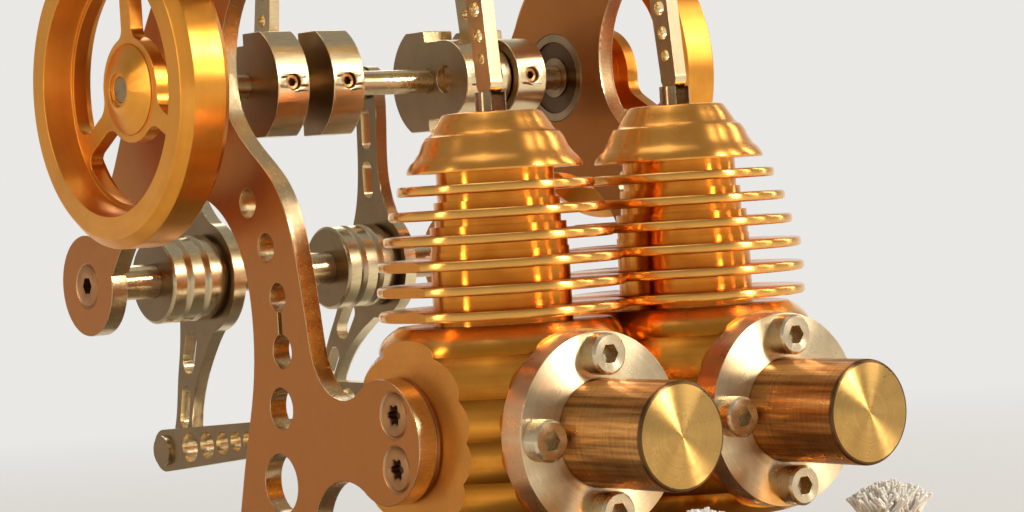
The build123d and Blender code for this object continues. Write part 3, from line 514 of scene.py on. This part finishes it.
ball_rings = []
ridges = [-ball_half] + [n * ridge_pitch for n in range(-2, 3)] + [ball_half]
for low, high in zip(ridges, ridges[1:]):
    for n in range(ridge_steps):
        share = 2 * n / ridge_steps - 1
        height = (low + high) / 2 + share * (high - low) / 2
        dip = ridge_high + (ridge_low - ridge_high) * share ** 2
        ball_rings.append((ball(height) - dip, height))
ball_rings.append((ball(ball_half) - ridge_low, ball_half))
barrel_rings = [(power_bore, ball_half), (core_radii[0], ball_half)]
for n, (fin, core) in enumerate(zip(fin_radii, core_radii)):
    height = fin_first + n * fin_pitch
    barrel_rings.append((core, height - fin_half))
    for start, level in (
        (-math.pi / 2, height - fin_half + fin_round), (0, height + fin_half - fin_round)
    ):
        for k in range(fin_steps + 1):
            corner = start + math.pi / 2 * k / fin_steps
            barrel_rings.append((fin - fin_round + fin_round * math.cos(corner),
                                 level + fin_round * math.sin(corner)))
    barrel_rings.append((core, height + fin_half))
    if n + 1 < len(core_radii) and core_radii[n + 1] != core:
        barrel_rings.append((core, height + fin_pitch / 2))
        barrel_rings.append((core_radii[n + 1], height + fin_pitch / 2))
barrel_rings += [(core_radii[-1], barrel_top), (power_bore, barrel_top)]
brass = block_metal("block brass", cut=0.15, lines=1100)
both_sides = ((X, side_flat), (sideways, side_flat))
all_flats = both_sides + ((forward, front_flat), (Y, rear_flat))
for side in sides:
    low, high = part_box(f"{side}_cylinder_head")
    flange_low, flange_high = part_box(f"{side}_hot_flange")
    heart = Vector((
        (low.x + high.x) / 2, (low.y + high.y) / 2, (flange_low.z + flange_high.z) / 2
    ))
    body = lathe(f"{side}_block_ball", ball_rings, Matrix.Translation(heart),
                 f"{side}_cylinder_block", brass, steps=160, flats=all_flats)
    mouth, rod_hole, seat = (
        heart + Vector(spot) / 1000
        for spot in ((0, -front_flat - drill_clear, 0), (0, rod_start, 0), (0, 0, power_start))
    )
    drilled(body, (
        (standing(mouth, Y), displacer_bore, displacer_depth),
        (standing(rod_hole, Y), rod_bore, rod_depth),
        (standing(seat, Z), power_bore, power_depth),
    ))
    lathe(f"{side}_block_barrel", barrel_rings, Matrix.Translation(heart),
          f"{side}_cylinder_block", brass, bored=True, steps=160, flats=both_sides)


# Cylinder heads and rod glands: turned, flared and stepped brass heads close the
# barrels. Hexagonal brass glands guide the displacer rods behind the blocks.
head_bright, head_dull = (1.0, 0.46, 0.10), (0.78, 0.30, 0.04)
head_brass = turned(
    "head brass", head_bright, head_dull, rough=0.2, spread=0.8, lines=900, cut=0.25
)
head_rings = (
    (2.78, 0.0), (15.2, 0.0), (15.25, 0.35), (15.1, 0.8), (14.5, 1.75), (13.8, 2.35),
    (13.45, 2.85), (12.9, 3.6), (12.3, 5.1), (11.6, 6.1), (11.05, 6.35), (10.6, 6.8),
    (9.8, 8.1), (8.9, 9.5), (8.55, 9.85), (7.9, 10.0), (4.3, 10.0), (4.3, 4.0), (2.78, 4.0),
)
for side in sides:
    low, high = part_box(f"{side}_cylinder_head")
    foot = Vector(((low.x + high.x) / 2, (low.y + high.y) / 2, low.z))
    lathe(f"{side}_head", head_rings, Matrix.Translation(foot), f"{side}_cylinder_head",
          head_brass, bored=True, steps=144)
    eased(f"{side}_rod_gland", head_brass, Y)


# Hot flanges and caps: turned steel flanges clamp the lipped, thin hot caps to the
# blocks. The flanges' rims carry a painted reflection of the brass and the room. The
# caps' straw-gold is a painted reflection of the brass round them, their ends show fine
# turning rings, and the rounded edge of each end carries painted shade.
# The flange rim's band colour is a painted reflection of the brass and the room.
flange_bright, flange_dull, flange_rim_reflection = (0.92, 0.74, 0.47), (0.50, 0.34, 0.16), (0.74, 0.44, 0.23)
flange_rim_radius = 0.01684
flange_steel = turned(
    "flange steel", flange_bright, flange_dull, rough=0.25, spread=0.97, lines=1500, cut=0.05,
    band=(flange_rim_radius, beyond, beyond, flange_rim_reflection),
)
# The caps' gold colours are a painted reflection of the brass round them.
cap_gold_reflection, cap_gold_reflection_dull = (0.95, 0.48, 0.15), (0.36, 0.15, 0.04)
# Painted shade darkens the rounded edge round each cap's end.
cap_end_gold_reflection, bevel_painted_shade = (0.70, 0.43, 0.13), (0.16, 0.08, 0.03)
bevel_inner, bevel_outer = 0.0084, 0.00895
cap_steel = turned(
    "cap steel", cap_gold_reflection, cap_gold_reflection_dull, rough=0.24, spread=0.97, lines=1500, cut=0.2,
    aged=0.3, streaks=0.7, end=cap_end_gold_reflection, band=(bevel_inner, bevel_outer, beyond, bevel_painted_shade),
)
flange_rings = (
    (10.62, 0.0), (16.9, 0.0), (16.9, 5.02), (16.82, 5.15), (16.7, 5.2),
    (9.14, 5.2), (9.02, 5.08), (9.02, 1.42), (10.62, 1.42),
)
cap_rings = (
    (8.2, 24.2), (8.2, 0.0), (10.6, 0.0), (10.6, 1.4), (9.0, 1.4), (9.0, 24.9),
    (8.96, 25.15), (8.72, 25.5), (8.45, 25.6),
)
for side in sides:
    low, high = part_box(f"{side}_hot_flange")
    seat = Vector(((low.x + high.x) / 2, high.y, (low.z + high.z) / 2))
    lathe(f"{side}_flange", flange_rings, standing(seat, forward), f"{side}_hot_flange",
          flange_steel, bored=True)
    lathe(f"{side}_cap", cap_rings, standing(seat, forward), f"{side}_hot_cap",
          cap_steel)


# Flange screws: four steel cap screws hold each flange, with chamfered heads and
# hexagon sockets, which carry painted shade.
screw_bright, screw_dull, socket_painted_shade = (0.82, 0.66, 0.43), (0.44, 0.31, 0.17), (0.62, 0.48, 0.29)
socket_reach, socket_top = 0.0019, 0.0032
screw_steel = turned(
    "screw steel", screw_bright, screw_dull, rough=0.24, spread=0.7, lines=2600, cut=0.2,
    band=(0, socket_reach, socket_top, socket_painted_shade),
)
screw_circle, screw_count = 0.0131, 4
cap_screw = (
    (2.0, -11.8), (2.0, 0.0), (3.5, 0.0), (3.5, 2.95), (3.4, 3.12), (3.05, 3.4),
    (2.05, 3.4), (1.75, 3.32, 1), (1.75, 1.4, 1),
)
for side in sides:
    low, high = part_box(f"{side}_hot_flange")
    middle = (low + high) / 2
    for n in range(screw_count):
        angle = math.tau * n / screw_count
        spot = Vector((
            middle.x + screw_circle * math.cos(angle), low.y,
            middle.z + screw_circle * math.sin(angle),
        ))
        lathe(f"{side}_flange_screw_{n + 1}", cap_screw, standing(spot, forward),
              f"{side}_flange_screws", screw_steel)


# Plate screws: two countersunk screws with six-lobe sockets go through each plate
# and its shim into the block. They carry the plate's painted brown reflection, and
# painted shade in their sockets.
brown_bright, brown_dull, brown_socket_shade = (0.50, 0.23, 0.08), (0.28, 0.12, 0.045), (0.26, 0.14, 0.075)
sunk_top = -0.0001
brown_steel = turned(
    "brown screw steel", brown_bright, brown_dull, rough=0.28, spread=0.7, lines=2200, cut=0.2,
    band=(0, socket_reach, sunk_top, brown_socket_shade),
)
lobe_depth = 0.14
plate_screw_edge = 0.00385


def six_lobes(angle):
    """Reach of a socket's outline with six round lobes that end at reach 1."""
    return 1 - lobe_depth + lobe_depth * math.cos(6 * angle)


plate_screw = (
    (2.0, -7.5), (2.0, -2.1), (3.66, -0.6), (3.72, -0.32), (3.45, -0.05), (3.3, 0.0),
    (2.4, 0.0), (1.95, -0.1, 1), (1.8, -0.3, 1), (1.8, -1.7, 1),
)
for side, out in (("left", -1), ("right", 1)):
    low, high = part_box(f"{side}_plate_screws")
    face = low.x if side == "left" else high.x
    for end, height in (
        ("lower", low.z + plate_screw_edge), ("upper", high.z - plate_screw_edge)
    ):
        spot = Vector((face, (low.y + high.y) / 2, height))
        lathe(f"{side}_{end}_plate_screw", plate_screw, standing(spot, (out, 0, 0)),
              f"{side}_plate_screws", brown_steel, six_lobes)


# Pistons and displacers: turned steel pistons with slotted rods run in the barrels,
# and light aluminium displacers on thin rods run in the hot caps.
light_bright, light_dull = (0.72, 0.70, 0.66), (0.5, 0.47, 0.43)
displacer_metal = turned("displacer metal", light_bright, light_dull, rough=0.25)
piston_bright, piston_dull = (0.40, 0.28, 0.16), (0.2, 0.13, 0.07)
piston_steel = turned("piston steel", piston_bright, piston_dull, rough=0.22, spread=0.8)
for side in sides:
    eased(f"{side}_piston", piston_steel, Z)
    eased(f"{side}_displacer", displacer_metal, Y)


# Crankshaft, webs and bearings: ball bearings in the plates carry a turned shaft. Its
# milled webs hold the crank pins and are locked by set screws from both ends.
race_bright, race_dull, shield_dark = (0.46, 0.31, 0.17), (0.22, 0.13, 0.06), (0.15, 0.085, 0.045)
shield_inner, shield_outer = 0.00402, 0.0072
race_steel = turned(
    "bearing race steel", race_bright, race_dull, rough=0.28,
    band=(shield_inner, shield_outer, beyond, shield_dark),
)
web_face, web_edge = (0.38, 0.25, 0.13), (0.95, 0.75, 0.44)
web_steel = milled("web steel", web_face, web_edge, X, rough=0.3)
shaft_bright, shaft_dull, shaft_end = (0.95, 0.77, 0.46), (0.5, 0.35, 0.18), (0.40, 0.25, 0.12)
shaft_steel = turned(
    "shaft steel", shaft_bright, shaft_dull, rough=0.24, cut=0.25, end=shaft_end
)
web_half, web_break = 0.0035, 0.0003
set_screw_sunk = 0.0007
half_ring = (
    (2.42, 0.12), (2.55, 0.0), (3.9, 0.0), (4.0, 0.08), (4.02, 0.4), (7.2, 0.4), (7.22, 0.08),
    (7.3, 0.0), (8.7, 0.0), (8.88, 0.15),
)
set_screw = (
    (1.42, -2.6), (1.42, -0.2), (1.3, 0.0), (0.95, 0.0), (0.84, -0.05, 1), (0.84, -1.4, 1),
)
for side in sides:
    low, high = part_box(f"{side}_bearing")
    width = 1000 * (high.x - low.x)
    bearing_rings = half_ring + tuple((radius, width - rise) for radius, rise in half_ring[::-1])
    spot = Vector((low.x, (low.y + high.y) / 2, (low.z + high.z) / 2))
    lathe(f"{side}_ball_bearing", bearing_rings, standing(spot, X), f"{side}_bearing",
          race_steel, bored=True)
    eased(f"{side}_crank_webs", web_steel, width=web_break)
    low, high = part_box(f"{side}_crank_webs")
    for web, across in (("outer", low.x + web_half), ("inner", high.x - web_half)):
        for end, depth, out in (
            ("front", low.y + set_screw_sunk, -1), ("rear", high.y - set_screw_sunk, 1)
        ):
            spot = Vector((across, depth, (low.z + high.z) / 2))
            lathe(f"{side}_{web}_{end}_set_screw", set_screw, standing(spot, (0, out, 0)),
                  "crank", brown_steel, steps=48)
eased("crankshaft", shaft_steel, X)


# Flywheels: cast brass wheels, turned all over, with three narrow spokes and a coned
# hub outside. A plain boss towards the plate holds each on its end of the shaft.
wheel_bright, wheel_dull, wheel_break = (0.95, 0.40, 0.06), (0.76, 0.28, 0.035), 0.0003
wheel_brass = turned(
    "flywheel brass", wheel_bright, wheel_dull, rough=0.28, spread=0.8, lines=900, cut=0.05
)
for side in sides:
    eased(f"{side}_flywheel", wheel_brass, X, wheel_break)


# Beams, their shaft and the rods: drilled steel beams rock on the upper cross shaft.
# Flat drilled rods lead to them from the crank pins and down to the pistons.
rod_face, rod_edge = (0.56, 0.39, 0.20), (0.95, 0.76, 0.45)
rod_steel = milled("rod steel", rod_face, rod_edge, X, rough=0.26, edge_rough=0.18)
eased("beam_shaft", shaft_steel, X)
for side in sides:
    for name in ("beam", "crank_rod", "piston_link"):
        eased(f"{side}_{name}", rod_steel)


# Levers, their shaft, the links and the drilled bars: milled steel levers with turned
# collars swing on the lower cross shaft and move the displacers through the bars.
# The levers' dark face colour is a painted dark reflection.
lever_face_dark_reflection, lever_edge = (0.27, 0.17, 0.08), (0.97, 0.79, 0.48)
lever_steel = milled("lever steel", lever_face_dark_reflection, lever_edge, X, rough=0.28, edge_rough=0.18)
eased("lever_shaft", shaft_steel, X)
for side in sides:
    for name in ("lever", "displacer_link", "displacer_bar"):
        eased(f"{side}_{name}", lever_steel)


# Shaft screws: countersunk screws with hexagon sockets hold the plates to the ends of
# both cross shafts.
shaft_screw = (
    (2.0, -11.5), (2.0, -2.1), (4.1, -0.55), (4.15, -0.3), (3.9, -0.05), (3.75, 0.0),
    (2.1, 0.0), (1.75, -0.06, 1), (1.75, -1.7, 1),
)
shaft_screw_edge = 0.0043
low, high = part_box("shaft_screws")
for side, out, face in (("left", -1, low.x), ("right", 1, high.x)):
    for end, height, depth in (
        ("rear", low.z + shaft_screw_edge, high.y - shaft_screw_edge),
        ("front", high.z - shaft_screw_edge, low.y + shaft_screw_edge),
    ):
        spot = Vector((face, depth, height))
        lathe(f"{side}_{end}_shaft_screw", shaft_screw, standing(spot, (out, 0, 0)),
              "shaft_screws", brown_steel)


# Burners: spun brass spirit tanks with a short tube each stand on the base under the
# hot caps. A bundle of white cotton strands frays out of the tube.
tank_bright, tank_dull = (0.88, 0.47, 0.12), (0.62, 0.27, 0.04)
tank_brass = turned(
    "tank brass", tank_bright, tank_dull, rough=0.26, spread=0.85, lines=700, cut=0.25
)
cotton_white, cotton_cream = (1.0, 0.97, 0.91), (0.9, 0.84, 0.72)
cotton, cotton_place = finish("cotton", 0.0, Sheen_Weight=1.0)
feed(
    cotton,
    Base_Color=grain(cotton_place, 900, 3).blend(cotton_white, cotton_cream),
    Roughness=grain(cotton_place, 500) * 0.1 + 0.85,
)
strands, strand_radius, strand_steps = 170, 0.00026, 7
strand_turn = 2.39996
tube_reach, wick_root, fray = 0.0036, 0.004, 1.35
for side in sides:
    eased(f"{side}_burner_tank", tank_brass, Z)
    low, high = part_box(f"{side}_wick")
    middle = (low + high) / 2
    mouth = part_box(f"{side}_burner_tank")[1].z
    chance = random.Random(11)
    curve = bpy.data.curves.new(f"{side}_wick_strands", "CURVE")
    curve.dimensions = "3D"
    curve.bevel_depth = strand_radius
    curve.bevel_resolution = 1
    curve.resolution_u = 3
    curve.use_fill_caps = True
    widest = fray * (high.x - low.x) / 2
    for n in range(strands):
        turn = n * strand_turn
        share = math.sqrt((n + 0.5) / strands)
        inside = tube_reach * share
        reach = widest * share * chance.uniform(0.85, 1.0)
        dome = (high.z - mouth - strand_radius) * (1 - 0.55 * share * share)
        top = mouth + dome * chance.uniform(0.82, 1.0)
        spline = curve.splines.new("POLY")
        spline.points.add(strand_steps)
        wave = chance.uniform(0, math.tau)
        for k, point in enumerate(spline.points):
            part = k / strand_steps
            out = inside + (reach - inside) * part ** 1.6
            swirl = turn + 0.25 * math.sin(wave + 4 * part)
            rise = mouth - wick_root + (top - mouth + wick_root) * part
            point.co = (
                middle.x + out * math.cos(swirl), middle.y + out * math.sin(swirl), rise, 1
            )
    wick = bpy.data.objects.new(f"{side}_wick_strands", curve)
    curve.materials.append(cotton)
    bpy.context.scene.collection.objects.link(wick)
    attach(wick, frame["nodes"][f"{side}_wick"]["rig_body"])
    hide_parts(f"{side}_wick")


# Studio: a pale floor that fades into the pale surround, and soft lamps. The key lamps
# stand to the right of the camera, with two strips further right and one to its left;
# weak ones hang above and behind.
surround, surround_glow = (1.0, 0.985, 0.955), 0.82
floor_pale, floor_grey = (0.80, 0.78, 0.75), (0.78, 0.76, 0.73)
floor_size, fade_start, fade_end = 12.0, 0.2, 0.8
bpy.ops.mesh.primitive_plane_add(size=floor_size, location=(0, 0, cad_box[0].z))
floor = bpy.context.object
floor.name = "floor"
floor_paint, floor_place = finish("floor paint", 0.0, Specular_IOR_Level=0.2)
feed(floor_paint, Base_Color=grain(floor_place, 40).blend(floor_pale, floor_grey),
     Roughness=grain(floor_place, 60) * 0.05 + 0.6)
floor_tree = floor_paint.node_tree
far = floor_place.length().step(fade_start, fade_end)
near_floor = Wire(floor_tree.nodes["Principled BSDF"].outputs["BSDF"])
far_floor = far.node(
    "ShaderNodeEmission", {}, {"Color": (*surround, 1), "Strength": surround_glow}
)
faded = far.node("ShaderNodeMixShader", {}, {0: far, 1: near_floor, 2: far_floor})
floor_tree.links.new(faded.socket, floor_tree.nodes["Material Output"].inputs["Surface"])
floor.data.materials.append(floor_paint)

world = bpy.data.worlds.new("studio")
bpy.context.scene.world = world
world.use_nodes = True
backdrop = world.node_tree.nodes["Background"]
backdrop.inputs["Color"].default_value = (*surround, 1)
heading = Wire(world.node_tree.nodes.new("ShaderNodeTexCoord").outputs["Generated"])
shown = heading.node("ShaderNodeLightPath", {}, {}, "Is Camera Ray")
for ray in ("Is Glossy Ray", "Is Transmission Ray"):
    shown = shown.math("MAXIMUM", shown, heading.node("ShaderNodeLightPath", {}, {}, ray))
ahead, risen = heading.along(direction(yaw, 0)), heading.along(Z)
half_glow, sky_dim, room_light = surround_glow / 2, 0.14, 0.3
pale = ahead.step(0.7, 0.95) * half_glow + half_glow - risen.step(0.1, 0.8) * sky_dim
backdrop_glow = shown * pale + (1 - shown) * room_light
world.node_tree.links.new(backdrop_glow.socket, backdrop.inputs["Strength"])
aim = Vector((0, 0, 0.09))
key_light, strip_light, warm_light = (1.0, 0.94, 0.84), (1.0, 0.95, 0.86), (1.0, 0.88, 0.72)


def lamp(name, heading, height, away, size, bright, colour=(1, 1, 1)):
    """A soft lamp, seen from the engine under a heading and a height in degrees, with
    its distance and its size in metres and its brightness per area."""
    light = bpy.data.lights.new(name, "AREA")
    light.shape = "RECTANGLE"
    light.size, light.size_y = size
    light.energy = bright * math.pi * size[0] * size[1]
    light.color = colour
    made = bpy.data.objects.new(name, light)
    bpy.context.scene.collection.objects.link(made)
    towards = direction(math.radians(heading), math.radians(height))
    made.location = aim + towards * away
    made.rotation_euler = (-towards).to_track_quat("-Z", "Y").to_euler()


lamp("key", -65, 22, 1.6, (0.18, 0.23), 80, key_light)
lamp("key above", -65, 31, 1.6, (0.18, 0.11), 60, key_light)
lamp("key below", -65, 10, 1.6, (0.18, 0.11), 40, key_light)
lamp("left strip", 172, 15, 1.6, (0.2, 0.9), 9, warm_light)
lamp("right strip", -38, 25, 1.6, (0.15, 0.9), 9, strip_light)
lamp("far right strip", -5, 20, 1.6, (0.15, 0.9), 8, strip_light)
lamp("top", 90, 80, 1.5, (0.9, 0.9), 1.3)
lamp("rear", 60, 35, 1.7, (0.45, 0.75), 2.5, (1.0, 0.95, 0.88))
